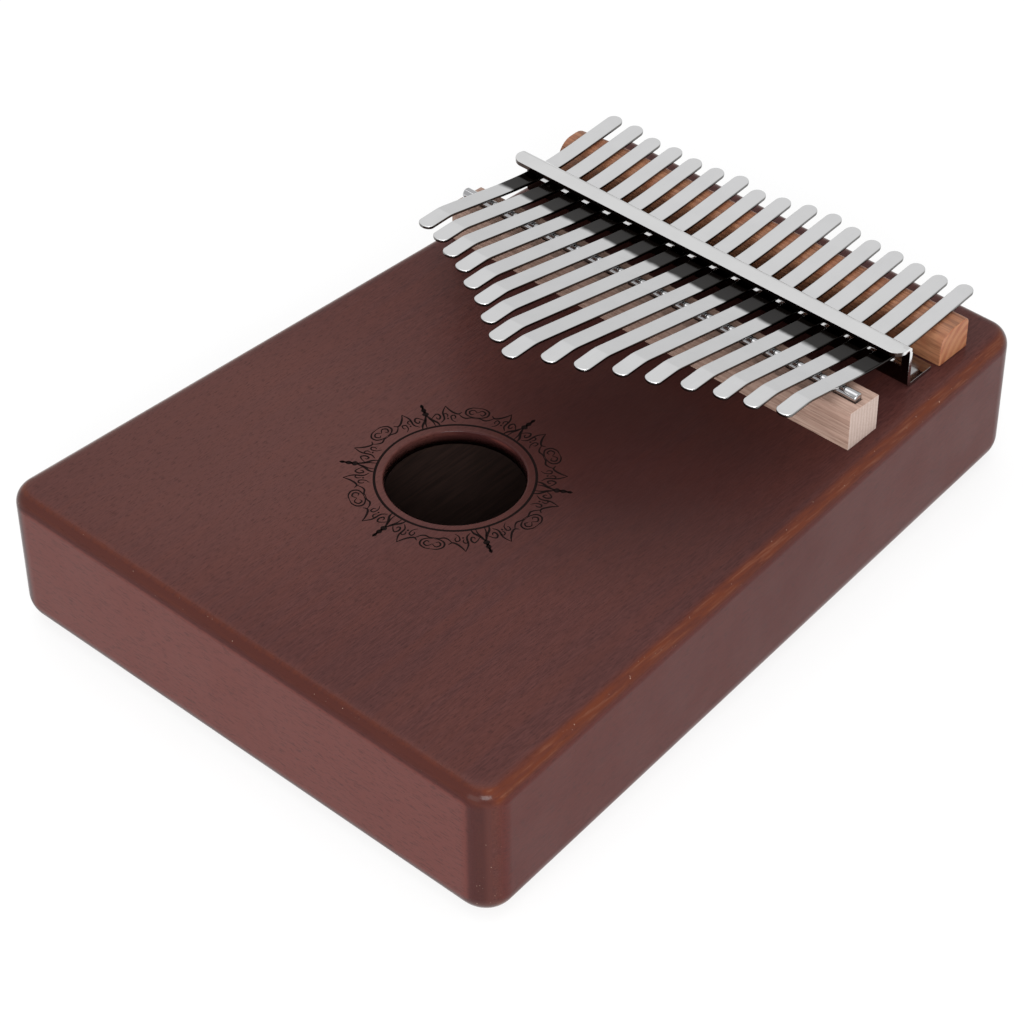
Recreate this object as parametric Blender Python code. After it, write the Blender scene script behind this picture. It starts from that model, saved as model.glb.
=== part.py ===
"""Seventeen-key mbira (kalimba): a hollow wooden box with sprung steel tines.

Frame: metres, +Z up. The origin is the centre of the box's bottom face, -Y is the
player's end, +Y is the end that carries the tines and +X is the player's right.
Each tine lies along Y on a rear bridge and a steel rod, and the bracket's slots
press it down between the two.
"""

import bmesh
import bpy
from math import cos, pi, radians, sin, sqrt

MM = 0.001

# Box: a rectangle with rounded corners, wider at the player's end.
BOX_LENGTH = 185.0 * MM
BOX_WIDTH = 127.1 * MM  # at mid length
BOX_HEIGHT = 35.0 * MM
BOX_TAPER = 0.0813  # share of the width gained at the player's end and lost at the other
CORNER_RADIUS = 7.0 * MM
TOP_ROUND = 4.0 * MM
BOTTOM_ROUND = 6.0 * MM
TOP_BOARD = 3.6 * MM
BACK_BOARD = 3.6 * MM
SIDE_BOARD = 7.0 * MM
END_BOARD = 8.0 * MM
CORNER_STEPS = 7
ROUND_STEPS = 5

GAP = 0.3 * MM  # between pieces that rest on each other
CONTACT_GAP = 0.2 * MM  # between a tine and what it bears on
CUT_PAST = 2.0 * MM  # how far a cutter runs past the surface that it cuts

SOUND_HOLE_RADIUS = 15.0 * MM
SOUND_HOLE_Y = -27.3 * MM
SOUND_HOLE_STEPS = 64

# The bridges, bracket and tines sit a little to the player's left. Each X pair gives
# a piece's left and right end.
FRONT_BRIDGE_X = (-57.3 * MM, 55.8 * MM)
FRONT_BRIDGE_Y = (33.6 * MM, 44.0 * MM)
FRONT_BRIDGE_TOP = (44.9 * MM, 44.1 * MM)  # front edge, rear edge
ROD_X = (-57.6 * MM, 54.0 * MM)
ROD_Y = 38.7 * MM
ROD_Z = 44.9 * MM
ROD_RADIUS = 1.3 * MM
ROD_STEPS = 24
ROD_CHAMFER = 0.3 * MM

REAR_BRIDGE_X = (-56.6 * MM, 53.5 * MM)
REAR_BRIDGE_Y = (69.05 * MM, 79.05 * MM)
REAR_BRIDGE_FRONT_ROUND = 4.55 * MM
REAR_BRIDGE_REAR_ROUND = 1.6 * MM
REAR_BRIDGE_CONTACT_Y = 73.8 * MM
REAR_BRIDGE_STEPS = 8

# Bracket: a folded strip, flange forward at the top and rearward at the bottom.
SHEET = 1.0 * MM
BRACKET_X = (-58.1 * MM, 52.7 * MM)
BRACKET_TOP = 46.2 * MM
TOP_FLANGE_Y = 54.2 * MM
WEB_BACK_Y = 59.4 * MM
BOTTOM_FLANGE_Y = 67.6 * MM
FOLD_RADIUS = 1.5 * MM  # outside
FOLD_STEPS = 4
BRACKET_TOP_CORNER = 3.0 * MM
BRACKET_LOW_CORNER = 0.8 * MM
SLOT_WIDTH = 5.0 * MM
SLOT_Z = (40.2 * MM, 44.9 * MM)

SCREW_MIDDLE_X = sum(BRACKET_X) / 2
SCREW_X = [-44.0 * MM, -22.0 * MM, 0.0, 22.0 * MM, 44.0 * MM]  # from the middle
SCREW_Y = 63.4 * MM
SCREW_SHANK = 1.3 * MM
SCREW_HEAD = 2.5 * MM
SCREW_HEAD_HEIGHT = 1.4 * MM
SCREW_LENGTH = 11.0 * MM
SCREW_POINT = 2.0 * MM
SCREW_STEPS = 16

ANCHOR_Y = (38.0 * MM, 78.0 * MM)
ANCHOR_HEIGHT = 10.0 * MM
ANCHOR_HALF = 45.0 * MM

# Tines, from the player's left to the player's right.
TINE_MIDDLE_X = -1.65 * MM
TINE_PITCH = 6.23 * MM
TINE_WIDTH = 4.0 * MM
TINE_THICKNESS = 0.8 * MM
TINE_REAR_ROUND = 2.0 * MM
TINE_TIP_ROUND = 1.6 * MM
TINE_END_STEPS = 5
TINE_BODY_Y = [y * MM for y in (80.0, 74.0, 69.0, 65.0, 62.0, 59.0, 56.0, 52.0, 46.0, 38.7)]
TINE_SLOPE = 0.213  # rise in front of the rod
TINE_REAR_SLOPE = -0.055  # behind the rear bridge
TINE_TIP_LENGTH = 7.2 * MM  # the bent part that the thumb plucks
TINE_TIP_SLOPE = 0.005
TINE_TIP_BEND = 1.3 * MM  # half the length over which the tip bends
TINE_FRONT = [  # from the rod to the tip
    20.9 * MM, 22.9 * MM, 26.4 * MM, 29.1 * MM, 33.2 * MM, 36.6 * MM, 41.3 * MM, 45.6 * MM,
    48.5 * MM,
    43.3 * MM, 40.0 * MM, 35.0 * MM, 31.9 * MM, 27.8 * MM, 24.8 * MM, 22.5 * MM, 19.4 * MM,
]
TINE_REAR = [  # from the rod to the rear end
    46.3 * MM, 46.5 * MM, 45.4 * MM, 45.8 * MM, 45.4 * MM, 45.8 * MM, 47.0 * MM, 45.4 * MM,
    46.7 * MM,
    48.3 * MM, 49.2 * MM, 48.1 * MM, 47.2 * MM, 47.2 * MM, 46.8 * MM, 46.6 * MM, 47.5 * MM,
]


# Materials ---------------------------------------------------------------------


def material(name, color, roughness, metallic=0.0):
    made = bpy.data.materials.new(name)
    made.use_nodes = True
    shader = made.node_tree.nodes["Principled BSDF"]
    shader.inputs["Base Color"].default_value = (*color, 1.0)
    shader.inputs["Roughness"].default_value = roughness
    shader.inputs["Metallic"].default_value = metallic
    return made


# Mesh helpers --------------------------------------------------------------------


def add_object(name, mesh_data, finish=None):
    """A scene object from a bmesh."""
    mesh = bpy.data.meshes.new(name)
    mesh_data.to_mesh(mesh)
    mesh_data.free()
    made = bpy.data.objects.new(name, mesh)
    bpy.context.scene.collection.objects.link(made)
    if finish:
        mesh.materials.append(finish)
        mesh.shade_smooth()
        mesh.set_sharp_from_angle(angle=radians(35))
    return made


def add_loft(mesh_data, rings):
    """Skin over rings with the same number of points, closed by a cap at each end.

    Seen from the last ring, each ring runs anticlockwise, so the faces point out.
    """
    loops = [[mesh_data.verts.new(point) for point in ring] for ring in rings]
    for lower, upper in zip(loops, loops[1:]):
        for i in range(len(lower)):
            j = (i + 1) % len(lower)
            mesh_data.faces.new((lower[i], lower[j], upper[j], upper[i]))
    mesh_data.faces.new(loops[0][::-1])
    mesh_data.faces.new(loops[-1])


def loft(name, rings, finish=None):
    mesh_data = bmesh.new()
    add_loft(mesh_data, rings)
    return add_object(name, mesh_data, finish)


def arc(centre, radius, start, end, steps):
    """Points of an arc in a plane, with its angles in degrees."""
    angles = [radians(start + (end - start) * i / steps) for i in range(steps + 1)]
    return [(centre[0] + radius * cos(a), centre[1] + radius * sin(a)) for a in angles]


def box_rings(low, high):
    """The lower and upper ring of an upright box."""
    corners = [(low[0], low[1]), (high[0], low[1]), (high[0], high[1]), (low[0], high[1])]
    return [[(x, y, z) for x, y in corners] for z in (low[2], high[2])]


def turned_rings(profile, centre, axis, steps):
    """Rings of a turned shape: profile holds (radius, place along the axis)."""
    rings = []
    for radius, along in profile:
        ring = []
        for i in range(steps):
            a = 2 * pi * i / steps
            across, up = radius * cos(a), radius * sin(a)
            offset = (across, up, along) if axis == "Z" else (along, across, up)
            ring.append(tuple(c + o for c, o in zip(centre, offset)))
        rings.append(ring)
    return rings


def cutter(name, shapes):
    """A hidden object that holds one closed shape for each list of rings."""
    mesh_data = bmesh.new()
    for rings in shapes:
        add_loft(mesh_data, rings)
    made = add_object(name, mesh_data)
    made.hide_render = True
    made.display_type = "WIRE"
    return made


def cut(target, tool, operation="DIFFERENCE"):
    modifier = target.modifiers.new(tool.name, "BOOLEAN")
    modifier.operation = operation
    modifier.solver = "EXACT"
    modifier.object = tool


# Box --------------------------------------------------------------------------------


def taper(x, y):
    """Widen the plan towards the player's end."""
    return x * (1 - BOX_TAPER * y / (BOX_LENGTH / 2)), y


def plan_outline(inset):
    """The box's plan, moved in by inset: four rounded corners, anticlockwise."""
    half_x = BOX_WIDTH / 2 - inset
    half_y = BOX_LENGTH / 2 - inset
    radius = CORNER_RADIUS - inset
    points = []
    for sign_x, sign_y, start in ((1, -1, -90), (1, 1, 0), (-1, 1, 90), (-1, -1, 180)):
        centre = (sign_x * (half_x - radius), sign_y * (half_y - radius))
        points += arc(centre, radius, start, start + 90, CORNER_STEPS)
    return [taper(x, y) for x, y in points]


def edge_inset(z):
    """How far the rounded top and bottom edges draw the outline in at height z."""
    if z < BOTTOM_ROUND:
        return BOTTOM_ROUND - sqrt(BOTTOM_ROUND**2 - (BOTTOM_ROUND - z) ** 2)
    above = z - (BOX_HEIGHT - TOP_ROUND)
    if above > 0:
        return TOP_ROUND - sqrt(max(TOP_ROUND**2 - above**2, 0.0))
    return 0.0


def box_slice(z_low, z_high):
    """Rings of the box's outer shape between two heights."""
    heights = {z_low, z_high}
    for i in range(ROUND_STEPS + 1):
        a = pi / 2 * i / ROUND_STEPS
        heights.add(BOTTOM_ROUND * (1 - cos(a)))
        heights.add(BOX_HEIGHT - TOP_ROUND * (1 - sin(a)))
    levels = sorted(z for z in heights if z_low - 1e-9 <= z <= z_high + 1e-9)
    levels = [z for i, z in enumerate(levels) if i == 0 or z - levels[i - 1] > 1e-6]
    return [[(x, y, z) for x, y in plan_outline(edge_inset(z))] for z in levels]


def cavity_rings(z_low, z_high, inset=0.0):
    """The room inside the side and end boards: a tapered prism."""
    half_x = BOX_WIDTH / 2 - SIDE_BOARD - inset
    half_y = BOX_LENGTH / 2 - END_BOARD - inset
    corners = [(-half_x, -half_y), (half_x, -half_y), (half_x, half_y), (-half_x, half_y)]
    return [[(*taper(x, y), z) for x, y in corners] for z in (z_low, z_high)]


def screw_holes(z_low, z_high):
    holes = []
    for x in SCREW_X:
        profile = [(SCREW_SHANK + GAP, z_low), (SCREW_SHANK + GAP, z_high)]
        holes.append(turned_rings(profile, (SCREW_MIDDLE_X + x, SCREW_Y, 0), "Z", SCREW_STEPS))
    return holes


def build_box(finish):
    """Top board, back board, two side boards and two end boards."""
    rim_low = BACK_BOARD + GAP
    rim_high = BOX_HEIGHT - TOP_BOARD - GAP
    soundboard = loft("soundboard", box_slice(BOX_HEIGHT - TOP_BOARD, BOX_HEIGHT), finish)
    z_through = (BOX_HEIGHT - TOP_BOARD - CUT_PAST, BOX_HEIGHT + CUT_PAST)
    hole = [(SOUND_HOLE_RADIUS, z) for z in z_through]
    hole_rings = turned_rings(hole, (0, SOUND_HOLE_Y, 0), "Z", SOUND_HOLE_STEPS)
    cut(soundboard, cutter("soundboard_holes", [hole_rings] + screw_holes(*z_through)))
    loft("back_board", box_slice(0.0, BACK_BOARD), finish)

    cavity = cutter("cavity", [cavity_rings(rim_low - CUT_PAST, rim_high + CUT_PAST)])
    joint_y = BOX_LENGTH / 2 - END_BOARD
    reach = BOX_LENGTH
    regions = {
        "side_board_left": ((-reach, -joint_y + GAP), (0, joint_y - GAP)),
        "side_board_right": ((0, -joint_y + GAP), (reach, joint_y - GAP)),
        "end_board_player": ((-reach, -reach), (reach, -joint_y)),
        "end_board_tines": ((-reach, joint_y), (reach, reach)),
    }
    for name, (low, high) in regions.items():
        board = loft(name, box_slice(rim_low, rim_high), finish)
        region = box_rings((*low, -reach), (*high, reach))
        cut(board, cutter(name + "_region", [region]), "INTERSECT")
        if name.startswith("side"):
            cut(board, cavity)


def build_anchor_block(finish):
    """The block glued under the top board that the bracket's screws bite into."""
    z_high = BOX_HEIGHT - TOP_BOARD - GAP
    z_low = z_high - ANCHOR_HEIGHT
    low = (SCREW_MIDDLE_X - ANCHOR_HALF, ANCHOR_Y[0], z_low)
    high = (SCREW_MIDDLE_X + ANCHOR_HALF, ANCHOR_Y[1], z_high)
    block = loft("anchor_block", box_rings(low, high), finish)
    cut(block, cutter("anchor_holes", screw_holes(z_low - CUT_PAST, z_high + CUT_PAST)))


# Bridges ---------------------------------------------------------------------------


def build_front_bridge(wood, steel):
    """A square block with a groove along its top, and the rod that lies in it.

    The rod starts a little past the block's left end and stops short of its right end.
    """
    front, rear = FRONT_BRIDGE_Y
    base = BOX_HEIGHT + GAP
    profile = [(front, base), (rear, base), (rear, FRONT_BRIDGE_TOP[1]), (front, FRONT_BRIDGE_TOP[0])]
    block = loft("front_bridge", [[(x, y, z) for y, z in profile] for x in FRONT_BRIDGE_X], wood)
    centre = (0, ROD_Y, ROD_Z)
    seat = [(ROD_RADIUS + GAP, ROD_X[0] - CUT_PAST), (ROD_RADIUS + GAP, ROD_X[1] + GAP)]
    cut(block, cutter("rod_seat", [turned_rings(seat, centre, "X", ROD_STEPS)]))
    rod = [
        (ROD_RADIUS - ROD_CHAMFER, ROD_X[0]),
        (ROD_RADIUS, ROD_X[0] + ROD_CHAMFER),
        (ROD_RADIUS, ROD_X[1] - ROD_CHAMFER),
        (ROD_RADIUS - ROD_CHAMFER, ROD_X[1]),
    ]
    loft("bridge_rod", turned_rings(rod, centre, "X", ROD_STEPS), steel)


def build_rear_bridge(wood):
    """A bar with a flat top, a large round along its front and a small one along its rear."""
    front, rear = REAR_BRIDGE_Y
    base = BOX_HEIGHT + GAP
    top = tine_bottom(REAR_BRIDGE_CONTACT_Y) - CONTACT_GAP
    rear_centre = (rear - REAR_BRIDGE_REAR_ROUND, top - REAR_BRIDGE_REAR_ROUND)
    front_centre = (front + REAR_BRIDGE_FRONT_ROUND, top - REAR_BRIDGE_FRONT_ROUND)
    profile = [(front, base), (rear, base)]
    profile += arc(rear_centre, REAR_BRIDGE_REAR_ROUND, 0, 90, REAR_BRIDGE_STEPS // 2)
    profile += arc(front_centre, REAR_BRIDGE_FRONT_ROUND, 90, 180, REAR_BRIDGE_STEPS)
    loft("rear_bridge", [[(x, y, z) for y, z in profile] for x in REAR_BRIDGE_X], wood)


# Bracket and screws ---------------------------------------------------------------


def bracket_profile():
    """The folded sheet's section as (y, z), anticlockwise from its top front edge."""
    base = BOX_HEIGHT + GAP
    inner = FOLD_RADIUS - SHEET
    web_front = WEB_BACK_Y - SHEET
    top_centre = (WEB_BACK_Y - FOLD_RADIUS, BRACKET_TOP - FOLD_RADIUS)
    low_centre = (web_front + FOLD_RADIUS, base + FOLD_RADIUS)
    points = [(TOP_FLANGE_Y, BRACKET_TOP), (TOP_FLANGE_Y, BRACKET_TOP - SHEET)]
    points += arc(top_centre, inner, 90, 0, FOLD_STEPS)
    points += arc(low_centre, FOLD_RADIUS, 180, 270, FOLD_STEPS)
    points += [(BOTTOM_FLANGE_Y, base), (BOTTOM_FLANGE_Y, base + SHEET)]
    points += arc(low_centre, inner, 270, 180, FOLD_STEPS)
    points += arc(top_centre, FOLD_RADIUS, 0, 90, FOLD_STEPS)
    return points


def build_bracket(steel):
    rings = [[(x, y, z) for y, z in bracket_profile()] for x in BRACKET_X]
    bracket = loft("pressure_bracket", rings, steel)

    corners = []
    for end, side_y, radius, start in (
        (1, TOP_FLANGE_Y, BRACKET_TOP_CORNER, -90),
        (1, BOTTOM_FLANGE_Y, BRACKET_LOW_CORNER, 0),
        (0, BOTTOM_FLANGE_Y, BRACKET_LOW_CORNER, 90),
        (0, TOP_FLANGE_Y, BRACKET_TOP_CORNER, 180),
    ):
        centre_x = BRACKET_X[end] + (-radius if end else radius)
        centre_y = side_y + (-radius if start in (0, 90) else radius)
        corners += arc((centre_x, centre_y), radius, start, start + 90, FOLD_STEPS)
    outline = [[(x, y, z) for x, y in corners] for z in (0.0, 2 * BOX_HEIGHT)]
    cut(bracket, cutter("bracket_outline", [outline]), "INTERSECT")

    slots = []
    for x in tine_places():
        low = (x - SLOT_WIDTH / 2, WEB_BACK_Y - SHEET - CUT_PAST / 2, SLOT_Z[0])
        high = (x + SLOT_WIDTH / 2, WEB_BACK_Y + CUT_PAST / 2, SLOT_Z[1])
        slots.append(box_rings(low, high))
    holes = screw_holes(BOX_HEIGHT - CUT_PAST, BOX_HEIGHT + CUT_PAST)
    cut(bracket, cutter("bracket_slots", slots + holes))


def build_screws(steel):
    seat = BOX_HEIGHT + GAP + SHEET + GAP
    profile = [(SCREW_SHANK * 0.15, seat - SCREW_LENGTH), (SCREW_SHANK, seat - SCREW_LENGTH + SCREW_POINT)]
    profile += [(SCREW_SHANK, seat), (SCREW_HEAD, seat), (SCREW_HEAD, seat + SCREW_HEAD_HEIGHT * 0.4)]
    profile += [(SCREW_HEAD * 0.8, seat + SCREW_HEAD_HEIGHT * 0.85), (SCREW_HEAD * 0.4, seat + SCREW_HEAD_HEIGHT)]
    for number, x in enumerate(SCREW_X, start=1):
        rings = turned_rings(profile, (SCREW_MIDDLE_X + x, SCREW_Y, 0), "Z", SCREW_STEPS)
        loft(f"bracket_screw_{number}", rings, steel)


# Tines -----------------------------------------------------------------------------


def tine_places():
    middle = (len(TINE_FRONT) - 1) / 2
    return [TINE_MIDDLE_X + (i - middle) * TINE_PITCH for i in range(len(TINE_FRONT))]


def tine_bottom(y):
    """Height of a tine's underside behind its tip bend.

    The bracket presses the flat spring down between the rod and the rear bridge, so
    its bend grows from each support to the web and fades out again: two cubics.
    """
    web_y = WEB_BACK_Y - SHEET / 2
    rod_span = web_y - ROD_Y
    rear_span = REAR_BRIDGE_CONTACT_Y - web_y
    bend = 2 * (TINE_SLOPE - TINE_REAR_SLOPE) / (rod_span + rear_span)
    rod_top = ROD_Z + ROD_RADIUS + CONTACT_GAP
    if y <= ROD_Y:
        return rod_top + TINE_SLOPE * (ROD_Y - y)
    behind = min(y - ROD_Y, rod_span)
    z = rod_top - TINE_SLOPE * behind + bend * behind**3 / (6 * rod_span)
    web_slope = TINE_SLOPE - bend * rod_span / 2
    past_web = min(max(y - web_y, 0.0), rear_span)
    z -= web_slope * past_web - bend * past_web**2 / 2 + bend * past_web**3 / (6 * rear_span)
    return z - TINE_REAR_SLOPE * max(y - REAR_BRIDGE_CONTACT_Y, 0.0)


def tine_stations(tip_y, rear_y):
    """Places along a tine, rear to front, as (y, half width, height of the underside)."""
    half = TINE_WIDTH / 2
    bend_y = tip_y + TINE_TIP_LENGTH
    turns = [pi / 2 * (i + 0.6) / (TINE_END_STEPS - 0.4) for i in range(TINE_END_STEPS)]
    places = [(rear_y - TINE_REAR_ROUND * (1 - cos(a)), half * sin(a)) for a in turns]
    places += [(y, half) for y in TINE_BODY_Y]
    places += [(bend_y + TINE_TIP_BEND * s, half) for s in (1.0, 0.5, 0.0, -0.5, -1.0)]
    places += [(tip_y + TINE_TIP_ROUND * (1 - cos(a)), half * sin(a)) for a in reversed(turns)]
    return [(y, width, tine_height(y, bend_y)) for y, width in places]


def tine_height(y, bend_y):
    """Height of the underside with the tip bend, which is a parabola between two straights."""
    start, end = bend_y + TINE_TIP_BEND, bend_y - TINE_TIP_BEND
    if y >= start:
        return tine_bottom(y)
    into = min(start - y, start - end)
    turn = (TINE_TIP_SLOPE - TINE_SLOPE) / (start - end)
    z = tine_bottom(start) + TINE_SLOPE * into + turn * into**2 / 2
    return z + TINE_TIP_SLOPE * max(end - y, 0.0)


def build_tines(steel):
    """Each tine's origin is on its pluck axis, the line where it crosses the rod."""
    rod_top = ROD_Z + ROD_RADIUS
    for number, (x, front, rear) in enumerate(zip(tine_places(), TINE_FRONT, TINE_REAR), start=1):
        rings = []
        for y, half, z in tine_stations(ROD_Y - front, ROD_Y + rear):
            low, high = z - rod_top, z - rod_top + TINE_THICKNESS
            section = [(-half, low), (half, low), (half, high), (-half, high)]
            rings.append([(across, y - ROD_Y, up) for across, up in section])
        tine = loft(f"tine_{number:02d}", rings, steel)
        tine.location = (x, ROD_Y, rod_top)


def main():
    for old in list(bpy.data.objects):
        bpy.data.objects.remove(old)
    mahogany = material("mahogany", (0.115, 0.045, 0.032), 0.4)
    plain_wood = material("plain_wood", (0.45, 0.3, 0.18), 0.7)
    pale_wood = material("pale_wood", (0.48, 0.29, 0.21), 0.6)
    orange_wood = material("orange_wood", (0.5, 0.22, 0.1), 0.45)
    polished_steel = material("polished_steel", (0.75, 0.75, 0.75), 0.15, 1.0)
    satin_steel = material("satin_steel", (0.65, 0.66, 0.66), 0.35, 1.0)
    build_box(mahogany)
    build_anchor_block(plain_wood)
    build_front_bridge(pale_wood, polished_steel)
    build_rear_bridge(orange_wood)
    build_bracket(polished_steel)
    build_screws(polished_steel)
    build_tines(satin_steel)


main()
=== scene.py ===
"""Looks for the seventeen-key mbira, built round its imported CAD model.

Frame: metres, +Z up, origin at the centre of the box's underside, -Y the player's
end, +X the player's right. Sizes are written in millimetres times MM.
"""

from math import atan2, cos, pi, radians, sin, sqrt

import bmesh
import bpy
from mathutils import Matrix, Vector


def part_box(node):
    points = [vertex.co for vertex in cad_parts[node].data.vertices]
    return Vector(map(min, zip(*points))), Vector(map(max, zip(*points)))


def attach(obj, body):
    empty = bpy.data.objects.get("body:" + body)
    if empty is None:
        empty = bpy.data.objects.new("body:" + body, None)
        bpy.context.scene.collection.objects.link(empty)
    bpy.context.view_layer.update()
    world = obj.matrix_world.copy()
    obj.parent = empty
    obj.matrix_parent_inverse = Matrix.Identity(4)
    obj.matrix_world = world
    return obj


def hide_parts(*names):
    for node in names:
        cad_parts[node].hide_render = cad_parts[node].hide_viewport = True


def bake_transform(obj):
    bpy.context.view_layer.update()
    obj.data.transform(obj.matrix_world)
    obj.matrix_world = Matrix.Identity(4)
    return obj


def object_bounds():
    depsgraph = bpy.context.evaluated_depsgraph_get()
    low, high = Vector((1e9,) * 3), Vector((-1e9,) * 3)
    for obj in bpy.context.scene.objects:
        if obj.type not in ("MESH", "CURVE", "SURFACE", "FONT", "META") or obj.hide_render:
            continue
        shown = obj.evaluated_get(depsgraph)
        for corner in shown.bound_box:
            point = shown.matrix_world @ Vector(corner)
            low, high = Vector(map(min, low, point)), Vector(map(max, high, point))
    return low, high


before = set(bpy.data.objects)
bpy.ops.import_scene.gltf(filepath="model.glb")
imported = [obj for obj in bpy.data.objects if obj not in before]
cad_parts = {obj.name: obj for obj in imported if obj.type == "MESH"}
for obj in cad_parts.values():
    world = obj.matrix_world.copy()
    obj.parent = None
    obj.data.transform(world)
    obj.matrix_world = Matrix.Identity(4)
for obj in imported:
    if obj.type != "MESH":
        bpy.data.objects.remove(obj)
cad_low, cad_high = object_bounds()
MM = 0.001
WHITE = (1.0, 1.0, 1.0, 1.0)

# Box
BOX_WIDTH = 127.1 * MM  # at mid length
BOX_TAPER = 0.0813  # share of the width gained at the player's end
BOX_LENGTH = cad_high[1] - cad_low[1]
BOX_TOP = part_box("soundboard")[1][2]
CORNER_RADIUS = 7.0 * MM
TOP_ROUND = 4.0 * MM
BOTTOM_ROUND = 6.0 * MM
BOARD = 3.6 * MM  # top and back
SIDE_BOARD = 7.0 * MM
END_BOARD = 8.0 * MM
HOLE_RADIUS = 15.0 * MM
HOLE_EDGE = 0.5 * MM
HOLE_Y = -27.3 * MM
HOLE_STEPS = 96
ROUND_STEPS = 12  # in a quarter of the box's long rounds

HOLE_PLACE = (0.0, HOLE_Y, BOX_TOP)
TINE_SHADE_PLACE = (24.0 * MM, 7.0 * MM, BOX_TOP)  # middle of the painted shade where the tines' shadow and dark reflection fall on the top
SHEEN_PLACE = (-48.0 * MM, -52.0 * MM, BOX_TOP)  # middle of a paler patch of painted reflection, the sheen of light from the left-back

# Ornament round the sound hole
INK_HEIGHT = 0.03 * MM
INK_SUNK = 0.01 * MM  # how far its edges go into the top
INK_WEIGHT = 1.5  # every line's width is multiplied by this
RING_RADIUS = 16.95 * MM
REPEATS = 6

# Front bridge and rod
BLOCK_LOW, BLOCK_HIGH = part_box("front_bridge")
BLOCK_REAR_DROP = 0.8 * MM  # how much lower the top is at its rear edge
BLOCK_PLANED = 0.6 * MM  # taken off its rear face
ROD_LOW, ROD_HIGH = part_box("bridge_rod")
ROD_RADIUS = (ROD_HIGH[2] - ROD_LOW[2]) / 2
ROD_Y = (ROD_LOW[1] + ROD_HIGH[1]) / 2
ROD_Z = ROD_HIGH[2] - ROD_RADIUS
ROD_EDGE = 0.35 * MM  # rounding of its ends
GROOVE_PLAY = 0.3 * MM
GROOVE_STEPS = 12
BLOCK_EDGE = 0.45 * MM

# Rear bridge
REAR_LOW, REAR_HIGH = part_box("rear_bridge")
REAR_FRONT_ROUND = 4.55 * MM
REAR_REAR_ROUND = 1.6 * MM
REAR_EXTRA_ROUND = 2.2 * MM  # added to it at the left end, and less over the first sixth
REAR_EDGE = 0.35 * MM

# Bracket
BRACKET_LOW, BRACKET_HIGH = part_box("pressure_bracket")
SHEET = 1.0 * MM
FOLD = 1.0 * MM  # to the middle of the sheet
WEB_Y = 58.9 * MM  # middle of the web
TOP_CORNER = 3.0 * MM
LOW_CORNER = 0.8 * MM
LEFT_CUT = 1.4 * MM  # the web starts this far in from the left end of the top flange
LEFT_CUT_LENGTH = 2.6 * MM  # and the flange is rounded back to it over this length
SLOT_WIDTH = 5.0 * MM
SLOT_Z = (40.2 * MM, 44.5 * MM)
SHEET_EDGE = 0.14 * MM

# Screws
SCREWS = 5
SCREW_POINT = 0.2 * MM  # radius at its tip
SCREW_POINT_LENGTH = 2.0 * MM
SCREW_SHANK = 1.2 * MM
SCREW_NECK = 1.3 * MM  # radius under its head
SCREW_RIM = 0.25 * MM  # height of the upright rim under the dome
RECESS_DEPTH = 0.55 * MM
RECESS_HALF_WIDTH = 0.3 * MM
RECESS_REACH = 1.35 * MM

# Tines
TINES = 17
TINE_THICKNESS = 0.8 * MM
TINE_STEP = 2.0 * MM  # between the rings of its straight stretch
TINE_EDGE = 0.18 * MM  # rounding of the long edges
TINE_FLAT_EDGE = 0.10 * MM  # strip beside the rounding that keeps the flats flat
TINE_SLOPE = 0.213
TINE_REAR_SLOPE = -0.055
TINE_TIP_LENGTH = 7.5 * MM
TINE_TIP_SLOPE = 0.005
TINE_TIP_BEND = 1.3 * MM
TINE_TIP_ROUND = 1.6 * MM
TINE_REAR_ROUND = 2.0 * MM
CONTACT_GAP = 0.2 * MM
CONTACT_Y = 73.8 * MM
SHADE_BAND_Y = 45.2 * MM  # the painted shade and dark reflection in front of the bracket start here
SHADE_BAND_FADE = 1.8 * MM

# Camera
AZIMUTH, ELEVATION, ROLL = radians(42.366), radians(41.245), radians(-0.481)
DISTANCE = 673.2 * MM
TARGET = Vector((2.4 * MM, -12.54 * MM, 17.0 * MM))
LENS = 110.56  # focal length in mm, on a sensor 36 mm wide


# Scene helpers -------------------------------------------------------------------


def add_piece(name, mesh_data, materials, body="root", replaces=()):
    """A shown piece from a bmesh, which rides on a body and stands for CAD nodes."""
    mesh = bpy.data.meshes.new(name)
    mesh_data.to_mesh(mesh)
    mesh_data.free()
    mesh.shade_smooth()
    piece = bpy.data.objects.new(name, mesh)
    bpy.context.scene.collection.objects.link(piece)
    for finish in materials:
        mesh.materials.append(finish)
    if body:
        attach(piece, body)
    if replaces:
        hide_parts(*replaces)
    return piece


def soften(piece, width, segments=3, angle=35):
    """Round a piece's sharp edges, and shade its flats as flat."""
    bevel = piece.modifiers.new("edges", "BEVEL")
    bevel.width = width
    bevel.segments = segments
    bevel.limit_method = "ANGLE"
    bevel.angle_limit = radians(angle)
    flatten(piece)


def flatten(piece):
    """Shade a piece's large faces as flat."""
    weighted = piece.modifiers.new("flats", "WEIGHTED_NORMAL")
    weighted.mode = "FACE_AREA"
    weighted.weight = 90


def add_loops(mesh_data, rings, caps=True, material=0):
    """Skin over rings of equal length. Returns the vertices of each ring."""
    loops = [[mesh_data.verts.new(point) for point in ring] for ring in rings]
    for lower, upper in zip(loops, loops[1:]):
        for i in range(len(lower)):
            j = (i + 1) % len(lower)
            face = mesh_data.faces.new((lower[i], lower[j], upper[j], upper[i]))
            face.material_index = material
    if caps:
        mesh_data.faces.new(loops[0][::-1]).material_index = material
        mesh_data.faces.new(loops[-1]).material_index = material
    return loops


def arc(centre, radius, start, end, steps):
    """Points of an arc in a plane, with its angles in degrees."""
    angles = [radians(start + (end - start) * i / steps) for i in range(steps + 1)]
    return [(centre[0] + radius * cos(a), centre[1] + radius * sin(a)) for a in angles]


# Material helpers -------------------------------------------------------------------


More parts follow.
